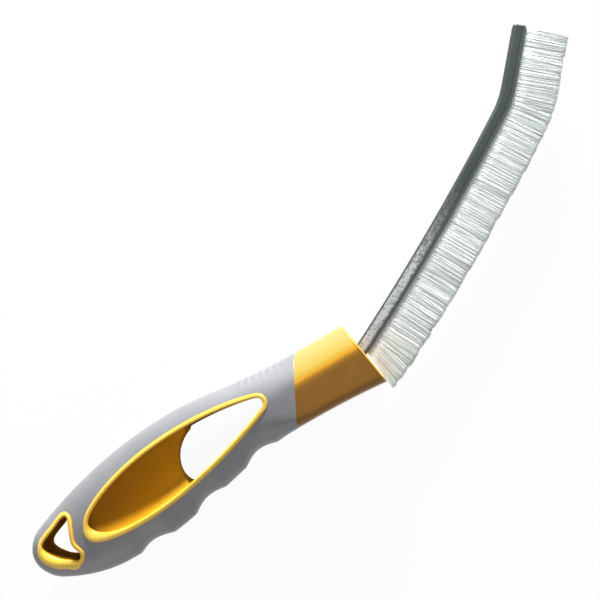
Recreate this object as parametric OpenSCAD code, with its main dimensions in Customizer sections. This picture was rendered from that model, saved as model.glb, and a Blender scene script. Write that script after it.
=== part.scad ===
// Crevice brush: a two-tone handle with a bent metal-backed bristle strip.
// It lies on its side. X runs from the butt to the head, Y rises to the spine,
// and Z is the thickness. The origin is under the middle of the whole brush.
// Shapes are laid out from the butt on the handle's axis, with Z = 0 at mid-thickness.

/* [Handle] */
// Length of the handle on its axis, butt to neck face
handle_length = 148; // [144:1:156]
// Thickness across the flat sides of the neck
handle_thickness = 24; // [22:0.5:28]
// Lean of the neck face, in degrees
neck_face_lean = 7; // [0:1:12]
// Height of the neck's round top above the axis
neck_rise = 14.5; // [13.5:0.5:17]
// Depth of the neck's underside below the axis
neck_drop = 11.5; // [10.5:0.5:14]
// Extra depth of the underside at the neck face
neck_flare = 1.5; // [0:0.25:3]
// Height of the neck's flat side where its round top begins
neck_shoulder = 2.5; // [0:0.5:4]

/* [Soft grip] */
// Length of the soft grip on the axis
grip_length = 118; // [112:1:124]
// Slant of the grip's front edge, in degrees
grip_edge_slant = 30; // [15:1:35]
// Widest thickness of the grip
grip_thickness = 22.6; // [20:0.2:24]
// Thickness of the butt
butt_thickness = 13; // [11:0.5:16]
// Wall of the soft layer over the core
grip_wall = 2.5; // [1.5:0.1:3]
// Rounding of the butt's end
butt_round = 5.5; // [4:0.5:8]
// Height of the spine at its crest
crest_height = 19; // [17.5:0.5:21]
// Place of the crest along the handle
crest_at = 72; // [66:1:80]
// Radius of the spine between butt and crest
spine_radius = 167; // [160:1:220]
// Depth of the belly at its lowest point
belly_depth = 22; // [20:0.5:25]
// Place of the belly along the handle
belly_at = 33; // [30:1:38]
// Radius of the belly towards the butt
belly_radius = 49; // [45:1:60]

/* [Finger grooves] */
// Number of finger grooves in the underside
finger_count = 3; // [1:1:3]
// Distance between finger grooves
finger_pitch = 25; // [22:0.5:26]
// Place of the groove nearest the butt
first_finger_at = 43.5; // [40:0.5:46]
// Length of one groove
finger_length = 23; // [18:0.5:24]
// Depth of one groove
finger_depth = 2.2; // [1:0.1:3]

/* [Grip opening] */
// Place of the opening's butt end along the handle
opening_at = 26; // [25:0.5:28]
// Height of the opening's butt end against the axis
opening_height = -2.5; // [-4:0.5:0]
// Length of the opening along its own middle line
opening_length = 79; // [72:1:81]
// Widest width of the opening
opening_width = 19.8; // [17:0.2:21]
// Rounding of the opening's two ends
opening_end_radius = 2; // [1.5:0.25:3]
// Tilt of the opening's middle line, in degrees
opening_tilt = 6; // [4:0.5:8]
// Thickness of the thumb web between the two scoops
web_thickness = 2.8; // [2:0.2:5]
// Place of the web's free edge along the handle
web_edge_at = 65.5; // [58:0.5:70]
// Radius of the web's free edge
web_edge_radius = 14; // [12:0.5:16]
// Height of the middle of the web's free edge against the axis
web_edge_height = -2.5; // [-4:0.5:0]
// Depth of the opening's straight wall before the scoop curves in
rim_wall_depth = 2.5; // [1.5:0.25:4]

/* [Rims] */
// Width of the hard rim round each opening
rim_width = 1.9; // [1.4:0.1:2.4]
// Height of the rim above the soft grip
rim_proud = 0.8; // [0.4:0.1:1.2]

/* [Hang hole] */
// Place of the hang hole's middle along the handle
hang_at = 12.9; // [12.5:0.1:13.2]
// Height of the hang hole's middle against the axis
hang_height = -3.75; // [-4.5:0.25:-3]
// Length of the hang hole along the handle
hang_length = 13; // [11:0.25:13.5]
// Height of the hang hole from corner to corner
hang_span = 16.5; // [14:0.5:17.5]

/* [Brush strip] */
// Width of the metal channel
channel_width = 4.8; // [4.4:0.1:6]
// Height of the metal channel
channel_height = 5; // [4.6:0.1:6]
// Sheet thickness of the channel
channel_gauge = 0.5; // [0.4:0.05:0.6]
// Depth of the channel's turned-in lips
lip_depth = 0.3; // [0.2:0.05:0.4]
// Diameter of the wire that holds the bristles in the channel
wire_diameter = 1.7; // [1.4:0.1:1.9]
// Height at which the channel leaves the neck face, on its middle line
strip_height = 3.5; // [2:0.25:5]
// Rise of the channel where it leaves the neck, in degrees
strip_rise = 27; // [22:1:30]
// Gentle sweep of the long part of the channel, in degrees
strip_sweep = 6; // [4:0.5:9]
// Length of the long part of the channel
strip_body_length = 104; // [90:1:120]
// Angle of the bend before the tip, in degrees
bend_angle = 16.5; // [10:0.5:24]
// Radius of that bend
bend_radius = 40; // [30:1:60]
// Length of the straight tip
strip_tip_length = 22; // [18:1:30]
// Length of channel held inside the neck
tang_length = 20; // [16:1:21]
// Diameter of the neck's post through the channel
lock_post_diameter = 2.4; // [1.6:0.1:2.4]

/* [Bristles] */
// Free length of the bristles beyond the channel
bristle_length = 17.5; // [14:0.5:20]
// Number of strands along the strip
bristle_columns = 108; // [100:1:112]
// Number of strands across the strip
bristle_rows = 3; // [2:1:3]
// Backward lean of the first strands at the neck, in degrees
bristle_neck_lean = 14; // [8:1:15]
// Length of strip over which that lean fades out
bristle_lean_fade = 14; // [12:1:20]

/* [Fits] */
// Clearance between the channel and its pocket in the neck
pocket_clearance = 0.1; // [0.05:0.05:0.2]
// Clearance of the bristle root and the wire inside the channel
root_clearance = 0.05; // [0.03:0.01:0.08]

/* [Hidden] */
AMBER = [0.95, 0.68, 0.12];
GREY = [0.60, 0.61, 0.65];
STEEL = [0.42, 0.44, 0.45];
WIRE = [0.60, 0.61, 0.62];
NYLON = [0.92, 0.95, 0.93];
// Points round the handle's section, and rings along it
RING = 32;
BUTT_RINGS = 6;
BODY_RINGS = 48;
// The same for the hidden surface between core and grip
INNER_RING = 16;
INNER_RINGS = 22;
// Points round each opening's outline, and round and across each thumb scoop
OUTLINE = 44;
SCOOP_POINTS = 35;
SCOOP_RINGS = 7;
// Places along the strip where its section stands: long part, bend and tip
BODY_STEPS = 16;
BEND_STEPS = 7;
OVERRUN = 6;
half = handle_thickness / 2;
// Extra half thickness that the neck's flat sides cut away
FLAT_CUT = 0.6;
// Length over which grip section turns into neck section, and where it starts
BLEND_LENGTH = 24;
BLEND_BACK = 20;
// Powers of the section's round sides: 2 is an ellipse, more is squarer
GRIP_LOW = 2.3;
GRIP_HIGH = 2.2;
NECK_LOW = 6;
NECK_HIGH = 2;
// Powers of the swell from butt to crest, and of each finger groove's floor
SWELL = 2.2;
GROOVE_FLOOR = 1.25;
// Share of the groove's depth that reaches round to the sides
GROOVE_WRAP = 1.5;
inner_gap = channel_width / 2 - channel_gauge;

// Curves of the handle's side view
function smooth(u) = let(v = min(1, max(0, u))) v * v * (3 - 2 * v);
function mix(a, b, u) = a + (b - a) * u;
function spine(x) = x < crest_at
    ? crest_height - pow(crest_at - x, 2) / (2 * spine_radius)
    : mix(crest_height, neck_rise, smooth((x - crest_at) / (grip_length - crest_at)));
function underside(x) = x < belly_at
    ? pow(belly_at - x, 2) / (2 * belly_radius) - belly_depth
    : mix(-belly_depth, -neck_drop, smooth((x - belly_at) / (grip_length - belly_at)))
        - neck_flare * pow(max(0, (x - grip_length) / (handle_length - grip_length)), 2);
function groove(x) = max([for (i = [0:finger_count - 1])
    let(u = (x - first_finger_at - i * finger_pitch) / (finger_length / 2))
    finger_depth * pow(max(0, 1 - u * u), GROOVE_FLOOR)]);
// Share of the way from soft grip to neck
function neck_share(x) = smooth((x - grip_length + BLEND_BACK) / BLEND_LENGTH);
function side_middle(x) = mix((spine(x) + underside(x)) / 2, neck_shoulder, neck_share(x));
function half_thick(x) = mix(
    mix(butt_thickness, grip_thickness, 1 - pow(max(0, 1 - x / crest_at), SWELL)) / 2,
    half + FLAT_CUT, neck_share(x));
function butt_fade(x) = pow(1 - pow(max(0, 1 - x / butt_round), SWELL), 1 / SWELL);
function power(v, p) = sign(v) * pow(abs(v), p);

// One ring of the handle's section at x, moved in by inset
function section(x, inset, count) = let(
    fade = butt_fade(x - inset),
    middle = side_middle(x),
    low = fade * (middle - underside(x) - inset),
    high = fade * (spine(x) - middle - inset),
    thick = fade * (half_thick(x) - inset),
    low_power = 2 / mix(GRIP_LOW, NECK_LOW, neck_share(x)),
    high_power = 2 / mix(GRIP_HIGH, NECK_HIGH, neck_share(x)))
    [for (i = [0:count - 1]) let(
        a = 360 * i / count,
        c = cos(a),
        s = sin(a),
        p = c > 0 ? high_power : low_power,
        lift = groove(x) * pow(max(0, -c), GROOVE_WRAP))
        [x, middle + (c > 0 ? high : low) * power(c, p) + lift, thick * power(s, p)]];

// Stations along the handle: close together round the butt, then even
function station(k, rings, inset) = inset + (k < BUTT_RINGS
    ? butt_round * (1 - cos(90 * (k + 0.5) / BUTT_RINGS))
    : butt_round + (handle_length + OVERRUN - butt_round) * (k - BUTT_RINGS) / (rings - BUTT_RINGS));

// Faces that join rings of count points, with a cap at each end
function ring_faces(count, rings) = concat(
    [[for (i = [0:count - 1]) i]],
    [for (j = [0:rings - 2], i = [0:count - 1])
        let(a = j * count + i, b = j * count + (i + 1) % count)
        each [[a, a + count, b], [b, a + count, b + count]]],
    [[for (i = [count - 1:-1:0]) (rings - 1) * count + i]]);

module form(inset, count, body_rings) {
    rings = BUTT_RINGS + body_rings;
    polyhedron(
        [for (k = [0:rings - 1]) each section(station(k, rings - 1, inset), inset, count)],
        ring_faces(count, rings), convexity = 6);
}

module skin() form(0, RING, BODY_RINGS);
module under_skin() form(grip_wall, INNER_RING, INNER_RINGS);

// Everything on the head side of the grip's slanted front edge
module ahead_of_grip() {
    reach = 3 * handle_length;
    translate([grip_length, 0, -reach / 2])
        rotate([0, 0, -grip_edge_slant])
            translate([0, -reach / 2, 0])
                cube(reach);
}

// Everything beyond the neck face
module beyond_neck() {
    reach = 3 * handle_length;
    translate([handle_length, 0, -reach / 2])
        rotate([0, 0, neck_face_lean])
            translate([0, -reach / 2, 0])
                cube(reach);
}

module slab() {
    reach = 3 * handle_length;
    translate([-reach / 2, -reach / 2, -half])
        cube([reach, reach, handle_thickness]);
}

// Leaf outline of the grip opening: a pointed leaf, moved out to round its ends
LEAF_BUTT = 0.45;
LEAF_HEAD = 0.75;
leaf_peak = LEAF_BUTT / (LEAF_BUTT + LEAF_HEAD);
leaf_length = opening_length - 2 * opening_end_radius;
function leaf_width(s) = (opening_width / 2 - opening_end_radius)
    * pow(s / leaf_peak, LEAF_BUTT) * pow((1 - s) / (1 - leaf_peak), LEAF_HEAD);
function leaf_point(a) = let(
    s = (1 - cos(a)) / 2,
    along = opening_end_radius + s * leaf_length,
    across = sign(sin(a)) * leaf_width(s))
    [opening_at + along * cos(opening_tilt) - across * sin(opening_tilt),
     opening_height + along * sin(opening_tilt) + across * cos(opening_tilt)];
function grown(before, at, after, grow) = let(
    d = after - before, n = norm(d))
    at + grow * [-d[1], d[0]] / n;
function leaf(grow, count, shift = 0) = [for (i = [0:count - 1])
    let(a = 360 * (i + shift) / count, e = 0.5)
    grown(leaf_point(a - e), leaf_point(a), leaf_point(a + e), opening_end_radius + grow)];

// Rounded three-cornered outline of the hang hole, as a closed smooth curve
HANG_SHAPE = [
    [0.40, 0.51], [0, 0.38], [-0.44, 0.22], [-0.48, 0.04], [-0.24, -0.24],
    [0.04, -0.40], [0.25, -0.50], [0.36, -0.40], [0.27, -0.12], [0.38, 0.18], [0.50, 0.42]
];
function hang_point(t) = let(
    n = len(HANG_SHAPE),
    k = floor(t),
    u = t - k,
    p = [for (j = [-1:2]) HANG_SHAPE[(k + j + n) % n]],
    q = 0.5 * (2 * p[1] + (p[2] - p[0]) * u
        + (2 * p[0] - 5 * p[1] + 4 * p[2] - p[3]) * u * u
        + (3 * p[1] - p[0] - 3 * p[2] + p[3]) * u * u * u))
    [hang_at + hang_length * q[0], hang_height + hang_span * q[1]];
function hang(grow) = [for (i = [0:OUTLINE - 1])
    let(n = len(HANG_SHAPE), t = n + n * i / OUTLINE, e = 0.02)
    grown(hang_point(t - e), hang_point(t), hang_point(t + e), -grow)];

module prism(outline) {
    translate([0, 0, -half - OVERRUN])
        linear_extrude(handle_thickness + 2 * OVERRUN)
            polygon(outline);
}

// Both rims' outer outlines through the handle
module rim_outer() {
    prism(leaf(rim_width, OUTLINE));
    prism(hang(rim_width));
}

// Web between the two thumb scoops: thin at its free edge, and rising to the rim
// with the cube of the distance from there. It runs a little past the outline
module web() {
    focus = [web_edge_at + 2, web_edge_height + 2];
    outline = leaf(0, SCOOP_POINTS, 0.3);
    brim = half_thick(crest_at) - rim_wall_depth;
    thin = web_thickness / 2;
    shares = [for (j = [0:SCOOP_RINGS]) 1.08 * (j + 0.4) / (SCOOP_RINGS + 0.4)];
    upper = [for (f = shares) [f, thin + (brim - thin) * pow(f, 3)]];
    lower = [for (j = [SCOOP_RINGS:-1:0]) [upper[j][0], -upper[j][1]]];
    levels = concat(upper, lower);
    difference() {
        polyhedron(
            [for (v = levels) each [for (p = outline)
                let(q = focus + (p - focus) * v[0]) [q[0], q[1], v[1]]]],
            ring_faces(SCOOP_POINTS, len(levels)), convexity = 6);
        ahead_of_web();
    }
}

// The see-through part of the opening lies ahead of the web's round free edge
module ahead_of_web() {
    tall = handle_thickness + 2 * OVERRUN;
    translate([web_edge_at + web_edge_radius, web_edge_height, -tall / 2])
        cylinder(r = web_edge_radius, h = tall, $fn = 96);
    translate([web_edge_at + web_edge_radius, -handle_length / 2, -tall / 2])
        cube([handle_length, handle_length, tall]);
}

// Middle line of the strip: distance s from the neck face, negative inside it
function turned(h) = [cos(h), sin(h)];
function arc_end(p, h, r, a) = p + r * [sin(h + a) - sin(h), cos(h) - cos(h + a)];
strip_start = [handle_length - strip_height * tan(neck_face_lean), strip_height];
body_radius = strip_body_length / (strip_sweep * PI / 180);
bend_length = bend_radius * bend_angle * PI / 180;
strip_visible = strip_body_length + bend_length + strip_tip_length;
bend_start = arc_end(strip_start, strip_rise, body_radius, strip_sweep);
bend_end = arc_end(bend_start, strip_rise + strip_sweep, bend_radius, bend_angle);
function heading(s) = s < 0 ? strip_rise
    : s < strip_body_length ? strip_rise + strip_sweep * s / strip_body_length
    : strip_rise + strip_sweep + bend_angle * min(1, (s - strip_body_length) / bend_length);
function strip_point(s) = s < 0 ? strip_start + s * turned(strip_rise)
    : s < strip_body_length
        ? arc_end(strip_start, strip_rise, body_radius, strip_sweep * s / strip_body_length)
    : s < strip_body_length + bend_length
        ? arc_end(bend_start, strip_rise + strip_sweep, bend_radius,
            bend_angle * (s - strip_body_length) / bend_length)
    : bend_end + (s - strip_body_length - bend_length) * turned(heading(strip_visible));

// Places along the strip from one distance to another, close together in the bend
function run_stations(from, to) = let(
    bend_from = strip_body_length,
    bend_to = strip_body_length + bend_length)
    concat(
        from < 0 ? [from] : [],
        [for (k = [0:BODY_STEPS]) mix(max(0, from), bend_from, k / BODY_STEPS)],
        [for (k = [1:BEND_STEPS]) mix(bend_from, bend_to, k / BEND_STEPS)],
        [to]);

// A point of the strip: s along it, out from its middle line to the mouth, z across
function strip_place(s, out, z) = let(h = heading(s), p = strip_point(s))
    [p[0] + out * sin(h), p[1] - out * cos(h), z];

// Carries a rounded outline of points [out, z] along the strip
module along_strip(outline, from, to) {
    stations = run_stations(from, to);
    count = len(outline);
    last = (len(stations) - 1) * count;
    polyhedron(
        [for (s = stations) each [for (q = outline) strip_place(s, q[0], q[1])]],
        concat(
            [for (i = [1:count - 2]) [0, i, i + 1]],
            [for (j = [0:len(stations) - 2], i = [0:count - 1])
                let(a = j * count + i, b = j * count + (i + 1) % count)
                each [[a, a + count, b], [b, a + count, b + count]]],
            [for (i = [1:count - 2]) [last, last + i + 1, last + i]]), convexity = 4);
}

// Outline of the channel's section as points [out, z], with round back corners
function corner(side, from, grow) = let(
    r = channel_width / 4 + grow,
    middle = [channel_width / 4 - channel_height / 2, side * channel_width / 4])
    [for (k = [0:4]) let(a = from - 90 * k / 4) middle + r * [cos(a), sin(a)]];
function channel_outline(grow) = concat(
    [[channel_height / 2 + grow, -channel_width / 2 - grow]],
    corner(-1, 270, grow),
    corner(1, 180, grow),
    [[channel_height / 2 + grow, channel_width / 2 + grow]]);
function box_outline(from, to, half_width) = [
    [to, -half_width], [from, -half_width], [from, half_width], [to, half_width]];

wire_center = channel_gauge + wire_diameter / 2 - channel_height / 2 + root_clearance;
lock_at = -tang_length + lock_post_diameter + 1;

module tang_pocket() {
    back = strip_point(-tang_length - pocket_clearance);
    width = channel_width + 2 * pocket_clearance;
    height = channel_height + 2 * pocket_clearance;
    translate([back[0], back[1], 0])
        rotate([0, 0, strip_rise])
            translate([0, -height / 2, -width / 2])
                cube([tang_length + OVERRUN, height, width]);
}

module lock_post(diameter) {
    p = strip_point(lock_at);
    translate([p[0], p[1], -half / 2])
        cylinder(d = diameter, h = half, $fn = 32);
}

module handle_core() {
    color(AMBER)
        difference() {
            union() {
                under_skin();
                intersection() {
                    skin();
                    ahead_of_grip();
                    slab();
                }
                intersection() {
                    form(-rim_proud, RING, BODY_RINGS);
                    rim_outer();
                    slab();
                }
            }
            beyond_neck();
            difference() {
                prism(leaf(0, OUTLINE));
                web();
            }
            prism(hang(0));
            difference() {
                tang_pocket();
                lock_post(lock_post_diameter);
            }
        }
}

module soft_grip() {
    color(GREY)
        difference() {
            intersection() {
                skin();
                slab();
            }
            ahead_of_grip();
            under_skin();
            rim_outer();
        }
}

module strip_channel() {
    inside = strip_visible - channel_gauge;
    mouth = channel_height / 2;
    color(STEEL)
        difference() {
            along_strip(channel_outline(0), -tang_length, strip_visible);
            along_strip(box_outline(channel_gauge - mouth, mouth - 2 * lip_depth, inner_gap),
                -tang_length - 1, inside);
            along_strip(box_outline(0, mouth + 1, inner_gap - lip_depth), -tang_length - 1, inside);
            lock_post(lock_post_diameter + 2 * pocket_clearance);
        }
}

module core_wire() {
    color(WIRE)
        along_strip(
            [for (k = [0:11]) [wire_center, 0] + wire_diameter / 2 * [sin(30 * k), cos(30 * k)]],
            lock_at + lock_post_diameter + 1, strip_visible - channel_gauge - root_clearance);
}

// Small steady differences from strand to strand, between -1 and 1
function wobble(i, k) = sin(i * 137.5 + k * 71) * 0.6 + sin(i * 53.3 + k * 29) * 0.4;

// How far the strands at s lean back from square to the strip, in degrees
function strand_lean(s) = -bristle_neck_lean * pow(max(0, 1 - s / bristle_lean_fade), 2)
    - TIP_LEAN * max(0, (s - strip_visible + strip_tip_length) / strip_tip_length);
function strand_point(s, reach, z) = let(
    d = heading(s) - 90 + strand_lean(s),
    p = strip_place(s, channel_height / 2, z))
    [p[0] + reach * cos(d), p[1] + reach * sin(d), z];

// The strands start just off the neck face and end inside the channel's closed tip
FIRST_COLUMN = 0.6;
TIP_GAP = 0.2;
// Backward lean of the last strands, and how far strands differ in length and sway
TIP_LEAN = 4.5;
UNEVEN = 0.35;
SWAY = 0.12;
// Half size of a strand against its cell, and height of its flared foot
STRAND_SHARE = 0.34;
FOOT = 0.9;
last_column = strip_visible - channel_gauge - TIP_GAP;
column_pitch = (last_column - FIRST_COLUMN) / bristle_columns;
root_half = inner_gap - lip_depth - root_clearance;
row_pitch = 2 * root_half / bristle_rows;

// Root block straddling the wire, with a strand on every cell of its mouth face
module bristles(from, to) {
    columns = to - from;
    mouth = channel_height / 2;
    back = channel_gauge + root_clearance - mouth;
    legs = wire_diameter / 2 + root_clearance;
    wire_top = wire_center + legs;
    under_lip = mouth - 2 * lip_depth - root_clearance;
    wide = inner_gap - root_clearance;
    // Rest of the block's section, from one mouth edge round to the other
    rest = [[under_lip, root_half], [under_lip, wide], [back, wide], [back, legs],
        [wire_center, legs], [wire_top, legs / 3], [wire_top, -legs / 3], [wire_center, -legs],
        [back, -legs], [back, -wide], [under_lip, -wide], [under_lip, -root_half]];
    width = bristle_rows + 1 + len(rest);
    stations = [for (i = [0:columns]) FIRST_COLUMN + (from + i) * column_pitch];
    block = [for (s = stations) each concat(
        [for (j = [0:bristle_rows]) strip_place(s, mouth, root_half - j * row_pitch)],
        [for (q = rest) strip_place(s, q[0], -q[1])])];
    // The end face as triangles: first the mouth's fan, then the legs beside the wire
    r = bristle_rows + 1;
    end = concat(
        [for (j = [0:bristle_rows - 1]) [r + 11, j, j + 1]],
        [for (t = [[11, -1, 0], [0, 1, 5], [1, 4, 5], [1, 2, 4], [2, 3, 4], [11, 0, 5], [11, 5, 6],
            [10, 11, 6], [10, 6, 7], [9, 10, 7], [9, 7, 8]]) [r + t[0], r + t[1], r + t[2]]]);
    block_faces = concat(
        end,
        [for (i = [0:columns - 1], j = [bristle_rows:width - 1])
            let(a = i * width + j, b = i * width + (j + 1) % width)
            each [[a, a + width, b], [b, a + width, b + width]]],
        [for (t = end) columns * width * [1, 1, 1] + [t[0], t[2], t[1]]]);
    // Two rings of four points for each strand: just above the root, and at the tip
    strands = [for (i = [0:columns - 1], j = [0:bristle_rows - 1]) let(
        k = (from + i) * bristle_rows + j,
        s = stations[i] + column_pitch / 2,
        z = root_half - (j + 0.5) * row_pitch,
        reach = bristle_length + UNEVEN * wobble(k, 1),
        sway = SWAY * column_pitch * wobble(k, 2),
        half_s = STRAND_SHARE * column_pitch,
        half_z = STRAND_SHARE * row_pitch)
        each concat(
            [for (q = [[-1, -1], [-1, 1], [1, 1], [1, -1]])
                strand_point(s + q[0] * half_s, FOOT, z - q[1] * half_z)],
            [for (q = [[-1, -1], [-1, 1], [1, 1], [1, -1]])
                strand_point(s + sway + q[0] * half_s, reach, z - q[1] * half_z)])];
    first_strand = len(block);
    strand_faces = [for (i = [0:columns - 1], j = [0:bristle_rows - 1]) let(
        c = i * width + j,
        base = [c, c + 1, c + width + 1, c + width],
        k = first_strand + 8 * (i * bristle_rows + j))
        each concat(
            [for (q = [0:3]) let(n = (q + 1) % 4)
                each [[base[q], k + q, base[n]], [base[n], k + q, k + n]]],
            [for (q = [0:3]) let(n = (q + 1) % 4)
                each [[k + q, k + q + 4, k + n], [k + n, k + q + 4, k + n + 4]]],
            [[k + 4, k + 6, k + 5], [k + 4, k + 7, k + 6]])];
    polyhedron(concat(block, strands), concat(block_faces, strand_faces), convexity = 20);
}

lower_end = round(bristle_columns * 0.38);
middle_end = round(bristle_columns * 0.76);

module bristles_lower() {
    color(NYLON)
        bristles(0, lower_end);
}

module bristles_middle() {
    color(NYLON)
        bristles(lower_end, middle_end);
}

module bristles_tip() {
    color(NYLON)
        bristles(middle_end, bristle_columns);
}

// Moves the brush so that its box stands centred on the origin
last_strand = strand_point(last_column, bristle_length, 0);
tip_back = strip_place(strip_visible, -channel_height / 2, 0);
middle_x = max(last_strand[0], tip_back[0]) / 2;
middle_y = (tip_back[1] - belly_depth) / 2;
module placed() {
    translate([-middle_x, -middle_y, half])
        children();
}

placed() handle_core();
placed() soft_grip();
placed() strip_channel();
placed() core_wire();
placed() bristles_lower();
placed() bristles_middle();
placed() bristles_tip();
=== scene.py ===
"""Looks of a crevice brush: a bent bristle strip set in a two-tone handle with a soft grip.

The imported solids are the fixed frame. Each visible piece is a surface worked out with numpy in
the brush's own plan, in millimetres: x runs from the butt along the handle, y towards the
spine, and z from the middle of the thickness. placed() moves such points into the frame.
"""
import math

import bmesh
import bpy
import numpy as np
from bpy.props import FloatProperty, FloatVectorProperty, IntProperty, PointerProperty
from bpy.types import Operator, Panel, PropertyGroup
from mathutils import Matrix, Vector


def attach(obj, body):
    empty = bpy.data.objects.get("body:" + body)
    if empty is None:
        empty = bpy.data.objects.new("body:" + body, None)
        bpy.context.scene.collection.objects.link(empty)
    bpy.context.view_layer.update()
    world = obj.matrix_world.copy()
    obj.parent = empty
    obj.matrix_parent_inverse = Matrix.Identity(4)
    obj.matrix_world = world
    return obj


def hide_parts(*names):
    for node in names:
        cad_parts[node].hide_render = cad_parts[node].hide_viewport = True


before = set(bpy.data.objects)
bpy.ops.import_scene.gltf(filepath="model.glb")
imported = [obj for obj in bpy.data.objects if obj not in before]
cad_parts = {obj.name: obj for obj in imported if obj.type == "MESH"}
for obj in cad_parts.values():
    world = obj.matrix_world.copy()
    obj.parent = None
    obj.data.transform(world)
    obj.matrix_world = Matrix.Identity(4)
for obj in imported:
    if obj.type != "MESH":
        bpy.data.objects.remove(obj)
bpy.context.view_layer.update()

bl_info = {
    "name": "Crevice Brush Looks",
    "version": (1, 0, 0),
    "blender": (4, 5, 0),
    "location": "View3D > Sidebar > Brush",
    "description": "Makes the visible pieces of a strip brush with a soft-grip handle",
    "category": "Object",
}

# Where the handle's butt, on its own axis at mid-thickness, lies in the frame
BUTT = np.array([-137.183, -29.699, 12.0])
BODY = "root"
MM = 1000.0

# Handle outline, in heights over its axis and places along it
HANDLE_LENGTH = 147.9
GRIP_LENGTH = 118.0
GRIP_SLOPE = math.tan(math.radians(27.0))
FACE_SLOPE = -math.tan(math.radians(9.0))
HALF_SLAB = 12.0
CREST_AT, CREST_HEIGHT, SPINE_RADIUS = 72.0, 18.62, 161.0
BELLY_AT, BELLY_DEPTH, BELLY_RADIUS = 33.0, 22.0, 49.0
RISE_FROM, RISE_TO = 41.5, 111.5
BUTT_THICKNESS, GRIP_THICKNESS, BUTT_ROUND = 13.0, 22.6, 7.0
NECK_RISE, NECK_DROP, NECK_FLARE, NECK_MIDDLE = 14.6, 10.85, 1.35, 0.2
NECK_HALF_THICKNESS = 12.6
NECK_BLEND_FROM, NECK_BLEND = 98.0, 24.0
FINGERS, FIRST_FINGER_AT, FINGER_PITCH = 3, 43.8, 25.2
FINGER_REAR, FINGER_FRONT, FINGER_DEPTH = 7.0, 8.6, 2.1
GROOVE_POWER, GROOVE_FADE = 1.25, 1.5
RIBS_FROM, RIBS_TO, RIB_FADE = 98.5, 120.5, 3.0
# Powers of the section's upper and lower half, and of the butt's round
GRIP_POWERS, NECK_POWERS, BUTT_POWER = (2.2, 2.3), (2.0, 6.0), 2.2
# Where the grip's rings start to lean, and how far the neck starts behind and below its front
GRIP_LEANS_FROM, NECK_OVERLAP, NECK_INSET = 86.0, 1.6, 0.1
# The grip's rings: close together on the round butt, then even, then close again. The even
# ones start 0.8 mm before the butt's end, so the skin doubles back on itself there
BUTT_TURN, BUTT_RINGS, CLOSE_FROM, CLOSE_RINGS = 0.09, 24, 90.0, 120
EVEN_FROM, EVEN_STEP = 6.2, 0.75
# Repeats after which a slanted ring, and a height that depends on itself, no longer change
SLANT_REPEATS, HEIGHT_REPEATS = 10, 8

# The long opening: a tilted leaf that swells by a power from each end and is then rounded
LEAF_AT, LEAF_HEIGHT, LEAF_TILT = 26.9, -3.4, math.radians(6.0)
LEAF_LENGTH, LEAF_HALF_WIDTH, LEAF_PEAK, LEAF_END_ROUND = 75.8, 9.6, 0.375, 2.0
LEAF_UPPER_POWERS, LEAF_LOWER_POWERS = (0.72, 0.88), (0.52, 0.95)
# The hang hole: its corners are shares of its size
HANG_MIDDLE, HANG_SIZE = np.array([13.6, -3.9]), np.array([13.5, 16.6])
HANG_SHAPE = np.array([
    [0.40, 0.51], [0.0, 0.38], [-0.44, 0.22], [-0.48, 0.04], [-0.24, -0.24], [0.04, -0.40],
    [0.25, -0.50], [0.38, -0.40], [0.30, -0.12], [0.41, 0.18], [0.50, 0.42]])
# The thumb web: the point that its rows run out from, and the arc of its free edge
WEB_FOCUS = np.array([67.5, -0.5])
WEB_EDGE_MIDDLE, WEB_EDGE_RADIUS = np.array([80.0, -3.8]), 14.0
WEB_HALF_THICKNESS, WEB_BRIM, WEB_EDGE_ROUND, WEB_INTO_WALL = 1.4, 8.8, 1.1, 0.35
# The beads: the side on which they are widest, their shoulder as a share of their width, how
# deep they are rooted, how far they reach over the grip, and their fall where narrow and wide
WIDE_SIDE, WIDE_POWER = np.array([-0.762, -0.641]), 4.5
RIM_SHOULDER, RIM_ROOT, RIM_OVERLAP = 0.42, 1.3, 0.25
RIM_DROP, RIM_WIDE_DROP = 0.25, 1.3
# Heights of the wall's rows as shares of the bead's inner edge
WALL_LEVELS = np.array([0.9, 0.72, 0.5, 0.25, 0.0])
HOLE_REACH = 20.0

# Bristle strip: lengths along it and its headings there, and its section
STRIP_START = np.array([147.85, 2.95])
STRIP_VISIBLE = 139.4
BEND_FROM, BEND_TO = 104.0, 115.52
STRIP_LENGTHS = [0.0, BEND_FROM, BEND_TO]
STRIP_HEADINGS = [26.7, 32.5, 49.0]
STRIP_HALF_WIDTH, STRIP_HALF_HEIGHT, STRIP_GAUGE, STRIP_ROUND = 2.4, 2.5, 0.5, 1.2
LIP_DEPTH, LIP_FOLD, CRIMP, MOUTH_ROUND = 0.5, 0.2, 0.14, 0.15
# Rows down the channel's side, out from its middle line, and those that the crimp draws in
SIDE_ROWS, CRIMPED = [-0.6, 0.4, 1.15, 1.45, 1.75, 2.0], np.array([0, 0, 0, 1, 1, 0])
PLUG_LENGTH, PLUG_ROUND = 0.9, 0.75
SOCKET_DEPTH, SOCKET_GAP, SOCKET_POWER = 6.0, 0.15, 0.25
TANG_FROM = -SOCKET_DEPTH + 0.1
# Where the painted sheen on the channel's sides starts to fade along the strip, and over what length
SHEEN_FROM, SHEEN_FADE = 20.0, 62.0

# Bristles: their stretches, their roots, how far the first and last ones lean back, and in
# degrees and millimetres how much each one differs from its neighbours
FIRST_BRISTLE, BRISTLE_SPLITS, LAST_BRISTLE = 0.5, (52.3, BEND_FROM), 138.9
ROOT_HALF_WIDTH, ROOT_DEPTH, WIRE_RADIUS, WIRE_SHORT = 1.55, 1.2, 0.85, 1.2
NECK_LEAN, NECK_LEAN_FADE, END_LEAN, END_LEAN_FADE = 21.0, 14.0, 1.0, 22.0
LEAN_SPREAD, LENGTH_SPREAD, BOW_SPREAD, DRIFT_SPREAD, LONGEST = 0.55, 0.16, 0.22, 0.12, 0.42
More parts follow.
